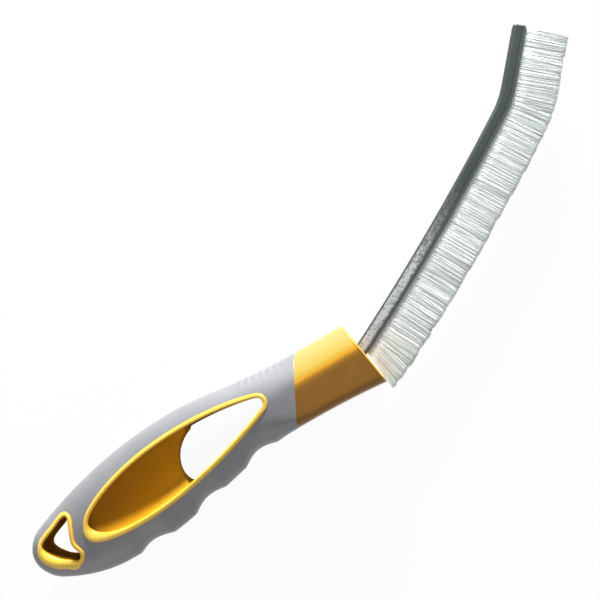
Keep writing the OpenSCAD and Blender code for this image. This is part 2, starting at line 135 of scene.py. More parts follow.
# Tufts in two sizes: pitch as a multiple, and the pull; then the spread of pull, length, shade
TUFT_SIZES = (1.0, 0.25), (4.2, 0.12)
TUFT_PULL, TUFT_LENGTH, TUFT_SHADE = 0.12, 0.16, 0.13
FILAMENT_STEPS = np.array([0.0, 0.35, 0.7, 0.93, 1.0])
FILAMENT_TAPER = np.array([1.0, 1.0, 1.0, 0.92, 0.55])
FILAMENT_SIDES = 3
# Shade of a filament: at its root, by its tuft, its own, in its outer part and near the neck
ROOT_SHADE, DULLER_SHADE, SHADE_SPREAD, OUTER_SHADE, OUTER_FROM = 0.02, 0.35, 0.03, 0.34, 0.4
NECK_SHADE, NECK_SHADE_FADE = 0.2, 60.0

# Painted light on the amber, from 0, deepest painted shade, to 1, palest painted light: a
# painted highlight over the bead from its foot, its rise and its fall; over the neck by how far
# a point faces the spine, where the key light falls; and on the neck's face, a painted level,
# a painted highlight on the face's edge and painted shade in the socket
RIM_FOOT_LIGHT, RIM_RISE_HIGHLIGHT, RIM_FALL_HIGHLIGHT = 0.45, (0.5, 0.74), (0.76, 0.6)
NECK_FACING = [-1.0, -0.1, 0.0, 0.05, 0.1, 0.26, 0.6, 1.0]
NECK_LIGHT = [0.16, 0.2, 0.2, 0.32, 0.5, 0.68, 0.9, 1.0]
FACE_LIGHT, FACE_EDGE_HIGHLIGHT, SOCKET_SHADE, FACES_AHEAD = 0.42, 0.62, 0.05, 0.93
# Painted light on the thumb web, in painted shade towards the butt and the spine and lighter
# towards the front and the underside: half way at a place on the axis, changing along and across
SCOOP_HALF_AT, SCOOP_ALONG, SCOOP_ACROSS = 52.0, 60.0, 26.0
# Angles in degrees over which an edge stays sharp
CREASE, FINE_CREASE, NECK_CREASE, STEEL_CREASE = 40.0, 60.0, 50.0, 30.0

# Plan points under the camera and in the middle of its view, and its turn about the view
CAMERA_OVER, CAMERA_AIM = np.array([143.9, -4.1]), np.array([136.8, 31.0])
CAMERA_ROLL = math.radians(30.02)
# Where the two lights stand: low past the spine, and opposite
KEY_PLACE, FILL_PLACE = Vector((0.48, 0.94, 0.2)), Vector((-0.6, -0.8, 0.38))


def smooth(share):
    """Ease from 0 to 1: three times the square less twice the cube of the held share."""
    held = np.clip(share, 0.0, 1.0)
    return held * held * (3.0 - 2.0 * held)


def mix(start, end, share):
    """Start and end weighed by the share."""
    return start + (end - start) * share


def soft_least(value, limit, reach=0.6):
    """The lesser of value and limit, less a parabola where they are closer than the reach."""
    near = np.maximum(reach - np.abs(value - limit), 0.0) / reach
    return np.minimum(value, limit) - near * near * reach / 4.0


def placed(points):
    """Plan points in millimetres as metres in the frame."""
    return (points + BUTT) / MM


# The handle's form


def spine(x):
    """Height of the spine: an arc up to the crest, then an eased fall to the neck."""
    rear = CREST_HEIGHT - (CREST_AT - x) ** 2 / (2 * SPINE_RADIUS)
    fall = smooth((x - CREST_AT) / (GRIP_LENGTH - CREST_AT))
    return np.where(x < CREST_AT, rear, mix(CREST_HEIGHT, NECK_RISE, fall))


def underside(x):
    """Height of the underside: an arc down to the belly, an eased rise, and the neck's flare."""
    rear = (BELLY_AT - x) ** 2 / (2 * BELLY_RADIUS) - BELLY_DEPTH
    rise = smooth((x - RISE_FROM) / (RISE_TO - RISE_FROM))
    front = mix(-BELLY_DEPTH, -NECK_DROP, rise)
    past = np.maximum(0.0, x - GRIP_LENGTH) / (HANDLE_LENGTH - GRIP_LENGTH)
    return np.where(x < BELLY_AT, rear, front) - NECK_FLARE * past**2


def groove(x):
    """Depth of the finger grooves: one less the squared share of each one's reach, to a power.

    A groove reaches less far from its middle to the rear than to the front.
    """
    away = np.asarray(x)[..., None] - FIRST_FINGER_AT - FINGER_PITCH * np.arange(FINGERS)
    share = away / np.where(away < 0, FINGER_REAR, FINGER_FRONT)
    return FINGER_DEPTH * (np.maximum(0.0, 1.0 - share**2) ** GROOVE_POWER).max(-1)


def section(x, inset=0.0):
    """Section at x: its middle, reach above and below, half thickness and the two powers.

    Each half is a superellipse. The round butt scales all three reaches by a fade.
    """
    neck = smooth((x - NECK_BLEND_FROM) / NECK_BLEND)
    middle = mix((spine(x) + underside(x)) / 2, NECK_MIDDLE, neck)
    swell = 1.0 - np.maximum(0.0, 1.0 - x / CREST_AT) ** BUTT_POWER
    half = mix(mix(BUTT_THICKNESS, GRIP_THICKNESS, swell) / 2, NECK_HALF_THICKNESS, neck)
    short = np.clip(1.0 - (x - inset) / BUTT_ROUND, 0.0, 1.0)
    fade = (1.0 - short**BUTT_POWER) ** (1 / BUTT_POWER)
    high = fade * (spine(x) - middle - inset)
    low = fade * (middle - underside(x) - inset)
    powers = [2 / mix(*pair, neck) for pair in zip(GRIP_POWERS, NECK_POWERS)]
    return middle, high, low, fade * (half - inset), powers


def skin(x, angle, inset=0.0):
    """Height and depth of the skin at x and an angle round it from the spine.

    Cosine and sine of the angle, each to the section's power, times the reach and the half
    thickness; the grooves lift the underside, and the slab's two flats cap the depth.
    """
    middle, high, low, thick, powers = section(x, inset)
    up, side = np.cos(angle), np.sin(angle)
    power = np.where(up > 0, *powers)
    y = middle + np.where(up > 0, high, low) * np.sign(up) * np.abs(up) ** power
    y = y + groove(x) * np.maximum(0.0, -up) ** GROOVE_FADE
    flat = HALF_SLAB - np.maximum(inset, 0.0)
    return y, np.sign(side) * soft_least(thick * np.abs(side) ** power, flat)


def skin_height(x, y):
    """Half the thickness over a plan point: skin() solved for z, the grooves in steps."""
    middle, high, low, thick, powers = section(x)
    above = y > middle
    power = np.where(above, *powers)
    reach = np.maximum(np.where(above, high, low), 1e-3)
    up = np.zeros_like(y)
    for _ in range(HEIGHT_REPEATS):
        shift = np.where(above, 0.0, groove(x) * up**GROOVE_FADE)
        up = np.clip((np.abs(y - middle) + shift) / reach, 0.0, 1.0) ** (1 / power)
    return soft_least(thick * np.sqrt(1.0 - up**2) ** power, HALF_SLAB)


def even_angles(x, count):
    """Angles round the section at x that are evenly far apart along its outline."""
    fine = np.linspace(0.0, 2 * np.pi, 1441)
    y, z = skin(np.full_like(fine, x), fine)
    walked = np.concatenate([[0.0], np.cumsum(np.hypot(np.diff(y), np.diff(z)))])
    return np.interp(np.arange(count) / count * walked[-1], walked, fine)


def slanted_rows(bases, leans, slope, count, relief):
    """Rings of the skin whose x is the base plus the lean times slope times the height there.

    The height depends on x in turn, so both are found in a few repeated steps. The relief at
    x and the angle then stands out from the skin.
    """
    angles = np.array([even_angles(base, count) for base in bases])
    base, lean = bases[:, None], leans[:, None]
    x = np.broadcast_to(base, angles.shape).astype(float)
    for _ in range(SLANT_REPEATS):
        x = base + lean * slope * skin(x, angles)[0]
    y, z = skin(x, angles, -relief(x, angles))
    return np.stack([x, y, z], -1), angles


def rounded_end(angles, end, slope, radius, steps):
    """Rings that turn the skin's edge in on a quarter circle up to a slanted plane."""
    rings = []
    for turn in np.linspace(0.0, np.pi / 2, steps + 1)[1:]:
        inset, ahead = radius * (1 - math.cos(turn)), radius * math.sin(turn)
        x = np.full_like(angles, end)
        for _ in range(SLANT_REPEATS):
            y, z = skin(x, angles, inset)
            x = end - radius + ahead + slope * y
        rings.append(np.stack([x, y, z], -1))
    return np.array(rings)


# Outlines in plan


def evenly(outline, count):
    """A closed outline resampled to points evenly far apart along it."""
    closed = np.vstack([outline, outline[:1]])
    steps = np.hypot(*np.diff(closed, axis=0).T)
    walked = np.concatenate([[0.0], np.cumsum(steps)])
    wanted = np.arange(count) / count * walked[-1]
    return np.stack([np.interp(wanted, walked, closed[:, k]) for k in (0, 1)], -1)


def outward(outline):
    """Unit normals of a closed outline that point away from its inside."""
    along = np.roll(outline, -1, 0) - np.roll(outline, 1, 0)
    along /= np.linalg.norm(along, axis=1, keepdims=True)
    x, y = outline.T
    turning = np.sign(np.sum(x * np.roll(y, -1) - np.roll(x, -1) * y))
    return turning * np.stack([along[:, 1], -along[:, 0]], -1)


def rounded_out(outline, radius, count):
    """The outline grown by a radius, its corners as arcs, in points evenly far apart."""
    normals = outward(outline)
    bearing = np.unwrap(np.arctan2(normals[:, 1], normals[:, 0]))
    whole = np.column_stack([outline, bearing])
    last = [*outline[0], bearing[0] + 2 * np.pi * np.sign(bearing[-1] - bearing[0])]
    whole = np.vstack([whole, last])
    change = np.diff(whole, axis=0)
    steps = np.hypot(change[:, 0], change[:, 1]) + radius * np.abs(change[:, 2])
    walked = np.concatenate([[0.0], np.cumsum(steps)])
    wanted = np.arange(count) / count * walked[-1]
    x, y, turn = (np.interp(wanted, walked, whole[:, k]) for k in range(3))
    return np.stack([x + radius * np.cos(turn), y + radius * np.sin(turn)], -1)


def leaf_edge(count):
    """Edge of the long opening: a leaf with unequal ends, tilted and grown by its end round."""
    around = np.arange(2400) / 2400 * 2 * np.pi
    share = (1 - np.cos(around)) / 2
    powers = zip(LEAF_UPPER_POWERS, LEAF_LOWER_POWERS)
    rear, front = (np.where(np.sin(around) > 0, *pair) for pair in powers)
    swell = (share / LEAF_PEAK) ** rear * ((1 - share) / (1 - LEAF_PEAK)) ** front
    across = np.sign(np.sin(around)) * (LEAF_HALF_WIDTH - LEAF_END_ROUND) * swell
    along = LEAF_END_ROUND + LEAF_LENGTH * share
    tilt, lift = math.cos(LEAF_TILT), math.sin(LEAF_TILT)
    x = LEAF_AT + along * tilt - across * lift
    y = LEAF_HEIGHT + along * lift + across * tilt
    return rounded_out(evenly(np.stack([x, y], -1), 1200), LEAF_END_ROUND, count)


def hang_edge(count):
    """Edge of the hang hole: a smooth closed curve through its eleven corner points."""
    corners = HANG_MIDDLE + HANG_SHAPE * HANG_SIZE
    a, b, c, d = (np.roll(corners, k, 0)[:, None] for k in (1, 0, -1, -2))
    t = np.linspace(0.0, 1.0, 60, endpoint=False)[None, :, None]
    curve = b + t * (c - a) / 2 + t**2 * (2 * a - 5 * b + 4 * c - d) / 2
    curve = curve + t**3 * (3 * b - a - 3 * c + d) / 2
    return evenly(curve.reshape(-1, 2), count)


# Meshes


def ring_quads(rows, columns, closed=False):
    """Quads of a grid whose columns run round in a ring, and its rows too where closed."""
    i, j = np.meshgrid(np.arange(rows - (not closed)), np.arange(columns), indexing="ij")
    ahead, right = (i + 1) % rows * columns, (j + 1) % columns
    quads = np.stack([i * columns + j, i * columns + right, ahead + right, ahead + j], -1)
    return quads.reshape(-1, 4).tolist()


def fan(first, count, hub):
    """Triangles from a ring of points to the hub."""
    ring = first + np.arange(count)
    return np.stack([ring, np.roll(ring, -1), np.full(count, hub)], -1).tolist()


def add_object(name, data):
    """An object of the data, in the scene's own collection."""
    made = bpy.data.objects.new(name, data)
    bpy.context.scene.collection.objects.link(made)
    return made


def add_shell(name, points, faces):
    """An object with a closed mesh of plan points, its faces turned outwards."""
    mesh = bpy.data.meshes.new(name)
    mesh.from_pydata(placed(points.reshape(-1, 3)).tolist(), [], faces)
    shell = bmesh.new()
    shell.from_mesh(mesh)
    bmesh.ops.recalc_face_normals(shell, faces=shell.faces)
    shell.to_mesh(mesh)
    shell.free()
    return add_object(name, mesh)


def add_piece(name, points, faces, material, nodes, crease=CREASE):
    """A closed piece that is smooth up to the crease, rides on the body and replaces nodes."""
    absent = [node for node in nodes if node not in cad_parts]
    if absent:
        raise RuntimeError(f"{name} stands for nodes that the frame lacks: {absent}")
    piece = add_shell(name, points, faces)
    piece.data.shade_smooth()
    piece.data.set_sharp_from_angle(angle=math.radians(crease))
    piece.data.materials.append(material)
    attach(piece, BODY)
    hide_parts(*nodes)
    return piece


def closed_tube(points):
    """Points and faces of a grid of rings with both ends closed by a fan to their middle."""
    rows, columns = points.shape[:2]
    hubs = points[[0, -1]].mean(1)
    flat = np.vstack([points.reshape(-1, 3), hubs])
    last = rows * columns
    faces = ring_quads(rows, columns) + fan(0, columns, last)
    return flat, faces + fan(last - columns, columns, last + 1)


def paint(piece, name, values):
    """One number for each point of the piece, for its material to read."""
    layer = piece.data.attributes.new(name, "FLOAT", "POINT")
    layer.data.foreach_set("value", np.ascontiguousarray(values, np.float32).ravel())


def normals_of(piece):
    """The piece's point normals as an array."""
    found = np.empty(len(piece.data.vertices) * 3, np.float32)
    piece.data.vertex_normals.foreach_get("vector", found)
    return found.reshape(-1, 3)


def cut_through(piece, outlines):
    """Cut a straight hole of each outline right through the piece and keep the result."""
    cutters = []
    for outline in outlines:
        count = len(outline)
        ends = [np.column_stack([outline, np.full(count, z)]) for z in (-HOLE_REACH, HOLE_REACH)]
        faces = ring_quads(2, count) + [list(range(count)), list(range(count, 2 * count))]
        cutter = add_shell("hole", np.concatenate(ends), faces)
        cutters.append(cutter)
        hole = piece.modifiers.new("hole", "BOOLEAN")
        hole.operation, hole.object, hole.solver = "DIFFERENCE", cutter, "MANIFOLD"
    before = len(piece.data.polygons)
    seen = piece.evaluated_get(bpy.context.evaluated_depsgraph_get())
    made = bpy.data.meshes.new_from_object(seen)
    piece.modifiers.clear()
    piece.data = made
    for cutter in cutters:
        bpy.data.objects.remove(cutter)
    if len(made.polygons) == before:
        raise RuntimeError(f"the holes in {piece.name} were not cut")
    made.shade_smooth()
    made.set_sharp_from_angle(angle=math.radians(CREASE))


# Materials


def add_node(tree, kind, sockets=None, **values):
    """A shader node with its values set and its sockets linked or filled."""
    made = tree.nodes.new(kind)
    for key, value in values.items():
        setattr(made, key, value)
    for key, value in (sockets or {}).items():
        if isinstance(value, bpy.types.NodeSocket):
            tree.links.new(value, made.inputs[key])
        else:
            made.inputs[key].default_value = value
    return made


def new_material(name, **constants):
    """A material with one main shader, whose constants stand on its own sockets.

    Its patterns are laid out by where, each point's place in the object.
    """
    material = bpy.data.materials.new(name)
    material.use_nodes = True
    tree = material.node_tree
    shader = tree.nodes["Principled BSDF"]
    for key, value in constants.items():
        shader.inputs[key.replace("_", " ").title().replace("Ior", "IOR")].default_value = value
    where = add_node(tree, "ShaderNodeTexCoord").outputs["Object"]
    return material, tree, shader, where


def point_layer(tree, name):
    """The numbers that paint() gave the piece under the name."""
    return add_node(tree, "ShaderNodeAttribute", attribute_name=name).outputs["Fac"]


def math_node(tree, operation, first, second=0.0):
    """The result of one sum on a socket and a number or socket."""
    return add_node(tree, "ShaderNodeMath", {0: first, 1: second}, operation=operation).outputs[0]


def noise(tree, where, scale, detail=3.0):
    """Soft noise between 0 and 1, scale being its grains in a metre."""
    sockets = {"Vector": where, "Scale": scale, "Detail": detail}
    return add_node(tree, "ShaderNodeTexNoise", sockets).outputs["Fac"]


def coloured(tree, shader, factor, stops):
    """Set the shader's colour by a ramp of the factor through (place, colour) stops."""
    made = add_node(tree, "ShaderNodeValToRGB", {"Fac": factor})
    band = made.color_ramp.elements
    while len(band) < len(stops):
        band.new(0.5)
    for element, (place, colour) in zip(band, stops):
        element.position, element.color = place, (*colour, 1.0)
    tree.links.new(made.outputs["Color"], shader.inputs["Base Color"])


def roughened(tree, shader, grain, low, high):
    """Set the shader's roughness between low and high by the grain."""
    made = add_node(tree, "ShaderNodeMapRange", {"Value": grain, "To Min": low, "To Max": high})
    tree.links.new(made.outputs[0], shader.inputs["Roughness"])


def bumped(tree, shader, height, strength, distance):
    """Set the shader's normal from a height."""
    sockets = {"Height": height, "Strength": strength, "Distance": distance}
    bump = add_node(tree, "ShaderNodeBump", sockets)
    tree.links.new(bump.outputs["Normal"], shader.inputs["Normal"])


def amber_plastic(look, name, roughness, gloss, bright, pale):
    """Amber plastic with painted light and shade in its colour: deep brown in painted shade, yellow
    to pale under painted light and highlights.

    The point layer painted_light runs from 0, painted shade, to 1, palest painted light. A faint
    cloud moves it a little, and a mould line stands up at mid-thickness.
    """
    material, tree, shader, where = new_material(
        name, roughness=roughness, ior=1.45, specular_ior_level=gloss)
    sway, half_line = 0.06, 0.12 / MM
    moved = math_node(tree, "MULTIPLY_ADD", noise(tree, where, 160.0), sway)
    moved.node.inputs[2].default_value = -sway / 2
    # The ramp: painted shade, the plain deep amber, then lit copies of it for painted light and
    # highlights
    coloured(tree, shader, math_node(tree, "ADD", point_layer(tree, "painted_light"), moved), [
        (0.0, look.amber_shade), (0.2, look.amber_deep), (0.5, look.amber_half_lit),
        (0.7, bright), (1.0, pale)])
    height = add_node(tree, "ShaderNodeSeparateXYZ", {0: where}).outputs["Z"]
    off_line = math_node(tree, "ABSOLUTE", math_node(tree, "SUBTRACT", height, HALF_SLAB / MM))
    line = math_node(tree, "LESS_THAN", off_line, half_line)
    grain = math_node(tree, "MULTIPLY", noise(tree, where, 2600.0), 0.25)
    bumped(tree, shader, math_node(tree, "ADD", line, grain), 0.12, 0.0001)
    return material


def satin_rubber(look):
    """Satin soft plastic with fine leather-like grain, slightly clouded."""
    material, tree, shader, where = new_material("soft_grip_rubber", ior=1.5)
    pale, dark = look.grip_colour, [0.86 * c for c in look.grip_colour]
    coloured(tree, shader, noise(tree, where, 70.0), [(0.3, dark), (0.7, pale)])
    grain = noise(tree, where, 2200.0, 5.0)
    roughened(tree, shader, grain, 0.36, 0.48)
    bumped(tree, shader, grain, 0.18, 0.0002)
    return material


def dull_steel(look):
    """Zinc-coated sheet, dark and clouded, with pale patches where a sheen is painted.

    The point layer painted_sheen, a painted sheen strongest in the middle of each side near the
    handle, gives how far the pale patches show.
    """
    material, tree, shader, where = new_material("dull_steel", metallic=0.75)
    spangle = add_node(tree, "ShaderNodeTexVoronoi", {"Vector": where, "Scale": 900.0})
    patch = math_node(tree, "ADD", noise(tree, where, 420.0, 4.0), spangle.outputs["Distance"])
    coloured(tree, shader, math_node(tree, "MULTIPLY", patch, point_layer(tree, "painted_sheen")), [
        (0.15, look.steel_dark), (0.55, look.steel_mid), (1.0, look.steel_pale)])
    roughened(tree, shader, noise(tree, where, 1500.0, 4.0), 0.34, 0.62)
    bumped(tree, shader, patch, 0.25, 0.0001)
    return material


def drawn_wire(look):
    """Bright drawn wire with fine scratches."""
    material, tree, shader, where = new_material("drawn_wire", metallic=1.0)
    grain = noise(tree, where, 1800.0, 5.0)
    dark = [0.7 * c for c in look.steel_pale]
    coloured(tree, shader, grain, [(0.3, dark), (0.7, look.steel_pale)])
    roughened(tree, shader, grain, 0.25, 0.45)
    return material


def nylon(look):
    """White nylon filaments; the point layer shade runs from clear white to dull grey.

    A faint light of its own stands in for the light that passes through the filaments.
    """
    material, tree, shader, where = new_material(
        "nylon_filament", roughness=0.5, ior=1.45, emission_color=(*look.fibre_white, 1.0),
        emission_strength=look.fibre_lift)
    stain = math_node(tree, "MULTIPLY", noise(tree, where, 110.0, 2.0), 0.3)
    coloured(tree, shader, math_node(tree, "ADD", point_layer(tree, "shade"), stain), [
        (0.1, look.fibre_white), (0.6, look.fibre_mid), (1.0, look.fibre_dull)])
    return material


# Pieces of the handle


def spine_ribs(look):
    """Relief of fine ribs across the spine in front of the crest, fading down the sides.

    A squared cosine wave along the handle, eased in and out, times the ninth power of the
    cosine of the angle round the section.
    """
    pitch, height = look.rib_pitch * MM, look.rib_height * MM

    def relief(x, angle):
        wave = (0.5 + 0.5 * np.cos(2 * np.pi * (x - RIBS_FROM) / pitch)) ** 2
        inside = smooth((x - RIBS_FROM) / RIB_FADE) * smooth((RIBS_TO - x) / RIB_FADE)
        return height * wave * inside * np.maximum(0.0, np.cos(angle)) ** 9

    return relief


def grip_piece(look, material):
    """The soft grip: skin rings from the round butt to a rounded edge on the slanted front."""
    columns, radius = 168, look.edge_round * MM
    front = GRIP_LENGTH - radius
    rear = BUTT_ROUND * (1 - np.cos(np.linspace(BUTT_TURN, np.pi / 2, BUTT_RINGS)))
    even = np.arange(EVEN_FROM, CLOSE_FROM, EVEN_STEP)
    bases = np.concatenate([rear, even, np.linspace(CLOSE_FROM, front, CLOSE_RINGS)])
    leans = smooth((bases - GRIP_LEANS_FROM) / (front - GRIP_LEANS_FROM))
    rings, angles = slanted_rows(bases, leans, GRIP_SLOPE, columns, spine_ribs(look))
    turned = rounded_end(angles[-1], GRIP_LENGTH, GRIP_SLOPE, radius, 5)
    points, faces = closed_tube(np.concatenate([rings, turned]))
    grip = add_piece("grip_skin", points, faces, material, ["soft_grip"])
    holes = []
    for edge in (leaf_edge(300), hang_edge(200)):
        reach = rim_reach(look, outward(edge)) - RIM_OVERLAP
        holes.append(edge + reach[:, None] * outward(edge))
    cut_through(grip, holes)
    return grip


def rim_reach(look, normals):
    """How far the rim reaches out from the opening's edge: widest towards the lower butt."""
    wide = np.maximum(0.0, normals @ WIDE_SIDE) ** WIDE_POWER
    return look.rim_width * MM + look.rim_extra * MM * wide


def rim_piece(name, edge, look, material, wall_material, wall_shade):
    """A bead round an opening and the wall below it, as one closed ring.

    Its section rises out of the skin on a quarter ellipse, falls to the opening's edge on a
    wider one and runs straight down the wall; the lower half mirrors it.
    """
    normals = outward(edge)
    outer = rim_reach(look, normals)
    wide = (outer / MM - look.rim_width) / max(look.rim_extra, 1e-6)
    proud, shoulder = look.rim_height * MM, RIM_SHOULDER * look.rim_width * MM
    drop = proud + mix(RIM_DROP, RIM_WIDE_DROP, wide)
    rise = np.linspace(0.0, np.pi / 2, 8)[:, None]
    fall = np.linspace(0.0, np.pi / 2, 11)[1:, None]
    out = np.concatenate([
        outer[None],
        outer - shoulder * (1 - np.cos(rise)),
        (outer - shoulder) * (1 - np.sin(fall))])
    lift = np.concatenate([
        np.full((1, len(edge)), -RIM_ROOT),
        np.tile(proud * np.sin(rise), len(edge)),
        proud - drop * (1 - np.cos(fall))])
    plan = edge + out[..., None] * normals
    height = soft_least(skin_height(plan[..., 0], plan[..., 1]) + lift, HALF_SLAB, 0.3)
    walls = len(WALL_LEVELS)
    plan = np.concatenate([plan, np.broadcast_to(edge, (walls, *edge.shape))])
    height = np.concatenate([height, height[-1] * WALL_LEVELS[:, None]])
    upper = np.concatenate([plan, height[..., None]], -1)
    lower = upper[-2::-1] * [1, 1, -1]
    points = np.concatenate([upper, lower])
    rows, columns = points.shape[:2]
    faces = ring_quads(rows, columns, closed=True)
    piece = add_piece(
        name, points, faces, material, ["handle_core"], FINE_CREASE)
    piece.data.materials.append(wall_material)
    from_middle = np.abs(np.arange(rows) - (rows - 2) / 2)
    inside = np.repeat(from_middle < walls + 1, columns).astype(np.int32)
    piece.data.polygons.foreach_set("material_index", inside)
    # Painted light over the bead: a painted highlight rising over it and falling to the opening, and
    # painted shade down the wall
    half = np.concatenate([
        [RIM_FOOT_LIGHT], np.linspace(*RIM_RISE_HIGHLIGHT, 8), np.linspace(*RIM_FALL_HIGHLIGHT, 9),
        [RIM_FOOT_LIGHT], [wall_shade + 0.06], np.full(walls - 1, wall_shade)])
    painted_light = np.concatenate([half, half[-2::-1]])
    paint(piece, "painted_light", np.repeat(painted_light[:, None], columns, 1))
    return piece


def web_rays():
    """Rays from the web's focus, and how far out its wall and its free edge are on each.

    The free edge is an arc, found where each ray leaves its circle. Only rays that meet the
    arc before the wall are kept.
    """
    edge = leaf_edge(720)
    away = edge - WEB_FOCUS
    bearing = np.arctan2(away[:, 1], away[:, 0]) % (2 * np.pi)
    order = np.argsort(bearing)
    far = np.hypot(*away.T)
    ring = np.linspace(0.3 * np.pi, 1.7 * np.pi, 1200)
    wall = np.interp(ring, bearing[order], far[order], period=2 * np.pi)
    ray = np.stack([np.cos(ring), np.sin(ring)], -1)
    back = WEB_FOCUS - WEB_EDGE_MIDDLE
    along = ray @ back
    free = -along + np.sqrt(along**2 - back @ back + WEB_EDGE_RADIUS**2)
    kept = ring[free < wall + 0.5]
    rays = np.linspace(kept[0], kept[-1], 180)
    wall, free = np.interp(rays, ring, wall), np.interp(rays, ring, free)
    return np.stack([np.cos(rays), np.sin(rays)], -1), wall, free


def web_piece(look, material):
    """The thumb web: a bowl on each face from a thin free edge up to the opening's wall.

    Half its height is the thin half thickness plus the cube of the share of the way from a
    focus to the wall. Rays from the focus give its rows, and its free edge is half round.
    """
    ray, wall, free = web_rays()
    shore = WEB_FOCUS + wall[:, None] * ray
    brim = np.minimum(WEB_BRIM, skin_height(shore[:, 0], shore[:, 1]) - look.web_depth * MM)
    turn = np.linspace(0.0, np.pi / 2, 7)[:, None]
    run = np.linspace(0.0, 1.0, 40)[1:, None] ** 0.85
    last = wall + WEB_INTO_WALL
    start = np.minimum(free + WEB_EDGE_ROUND, last)
    reach = np.concatenate([
        np.minimum(free + WEB_EDGE_ROUND * (1 - np.cos(turn)), last),
        mix(start, last, run)])
    share = np.minimum(reach / wall, 1.0)
    half = WEB_HALF_THICKNESS + (brim - WEB_HALF_THICKNESS) * share**3
    rounds = len(turn)
    half[:rounds] = half[rounds - 1] * np.sin(turn)
    plan = WEB_FOCUS + reach[..., None] * ray
    upper = np.concatenate([plan, half[..., None]], -1)
    lower = upper[:0:-1] * [1, 1, -1]
    loop = np.concatenate([upper, lower]).transpose(1, 0, 2)
    points, faces = closed_tube(loop)
    web = add_piece(
        "thumb_web", points, faces, material, ["handle_core"], FINE_CREASE)
    # Painted shade towards the butt and the spine, painted light towards the front and the underside
    lit = smooth(0.5 + (points[:, 0] - SCOOP_HALF_AT) / SCOOP_ALONG - points[:, 1] / SCOOP_ACROSS)
    paint(web, "painted_light", mix(look.scoop_shade, look.scoop_lit, lit))
    return web


def neck_piece(look, material):
    """The bare neck: slanted skin rings, a rounded face edge, the face and the strip's socket."""
    columns, radius = 144, look.neck_edge_round * MM
    shares = np.linspace(0.0, 1.0, 44)
    bases = mix(GRIP_LENGTH - NECK_OVERLAP, HANDLE_LENGTH - radius, shares)
    slopes = mix(GRIP_SLOPE, FACE_SLOPE, shares)
    rings, angles = slanted_rows(bases, slopes, 1.0, columns, lambda x, angle: -NECK_INSET)
    turned = rounded_end(angles[-1], HANDLE_LENGTH, FACE_SLOPE, radius, 6)
    mouth = socket_ring(angles[-1], 0.0)
    face = mix(turned[-1], mouth, np.linspace(0.0, 1.0, 5)[1:, None, None])
    inside = np.array([socket_ring(angles[-1], d) for d in (0.3, 1.5, 3.5, SOCKET_DEPTH)])
    points, faces = closed_tube(np.concatenate([rings, turned, face, inside]))
    neck = add_piece(
        "neck_shell", points, faces, material, ["handle_core"], NECK_CREASE)
    # Painted light on the neck: paler the more a point faces the spine, the side the key light comes
    # from, with a painted highlight on the face's rounded edge, a painted level on the face and
    # painted shade in the socket
    up, ahead = normals_of(neck)[:, 1], normals_of(neck)[:, 0]
    on_edge = smooth(ahead / 0.7) * (ahead < FACES_AHEAD)
    painted_light = np.maximum(np.interp(up, NECK_FACING, NECK_LIGHT), FACE_EDGE_HIGHLIGHT * on_edge)
    painted_light[ahead > FACES_AHEAD] = FACE_LIGHT
    outside = len(rings) + len(turned) + len(face)
    painted_light[outside * columns:] = SOCKET_SHADE
    paint(neck, "painted_light", painted_light)
    return neck


def socket_ring(angles, depth):
    """The strip's socket in the neck face: a rounded rectangle, a depth down along the strip."""
    up, side = np.cos(angles), np.sin(angles)
    out = -(STRIP_HALF_HEIGHT + SOCKET_GAP) * np.sign(up) * np.abs(up) ** SOCKET_POWER
    z = (STRIP_HALF_WIDTH + SOCKET_GAP) * np.sign(side) * np.abs(side) ** SOCKET_POWER
    turn = math.radians(STRIP_HEADINGS[0])
    x = STRIP_START[0] + out * math.sin(turn)
    y = STRIP_START[1] - out * math.cos(turn)
    ahead = (HANDLE_LENGTH + FACE_SLOPE * y - x) / (math.cos(turn) - FACE_SLOPE * math.sin(turn))
    ahead = ahead - depth
    return np.stack([x + ahead * math.cos(turn), y + ahead * math.sin(turn), z], -1)


# Pieces of the strip


def on_strip(s, out, z):
    """Plan points at length s along the strip, out from its middle line and z off the plane.

    The line is the running sum of steps along its heading, which changes evenly by length.
    """
    step = 0.05
    steps = np.arange(-10.0, STRIP_VISIBLE + 1.0, step)
    heading = np.radians(np.interp(steps, STRIP_LENGTHS, STRIP_HEADINGS))
    walk = np.stack([np.cos(heading), np.sin(heading)], -1)
    line = np.vstack([[0.0, 0.0], np.cumsum((walk[1:] + walk[:-1]) / 2 * step, 0)])
    zero = [np.interp(0.0, steps, line[:, k]) for k in (0, 1)]
    x, y = (np.interp(s, steps, line[:, k]) - zero[k] + STRIP_START[k] for k in (0, 1))
    turn = np.interp(s, steps, heading)
    return np.stack(np.broadcast_arrays(x + out * np.sin(turn), y - out * np.cos(turn), z), -1)


def channel_section(inset):
    """Half of the channel's outside, from the back's middle to the mouth, as out and z."""
    round_back = max(STRIP_ROUND - inset, 0.3)
    turn = np.linspace(0.0, np.pi / 2, 8)
    back, side = -STRIP_HALF_HEIGHT + inset, STRIP_HALF_WIDTH - inset
    out = np.concatenate([
        [back], back + round_back * (1 - np.cos(turn)), SIDE_ROWS,
        [STRIP_HALF_HEIGHT - MOUTH_ROUND - inset, STRIP_HALF_HEIGHT - inset]])
    crimp = CRIMP * CRIMPED * (inset < 0.1)
    z = np.concatenate([
        [0.0], side - round_back * (1 - np.sin(turn)), side - crimp, [side, side - MOUTH_ROUND]])
    return out, z


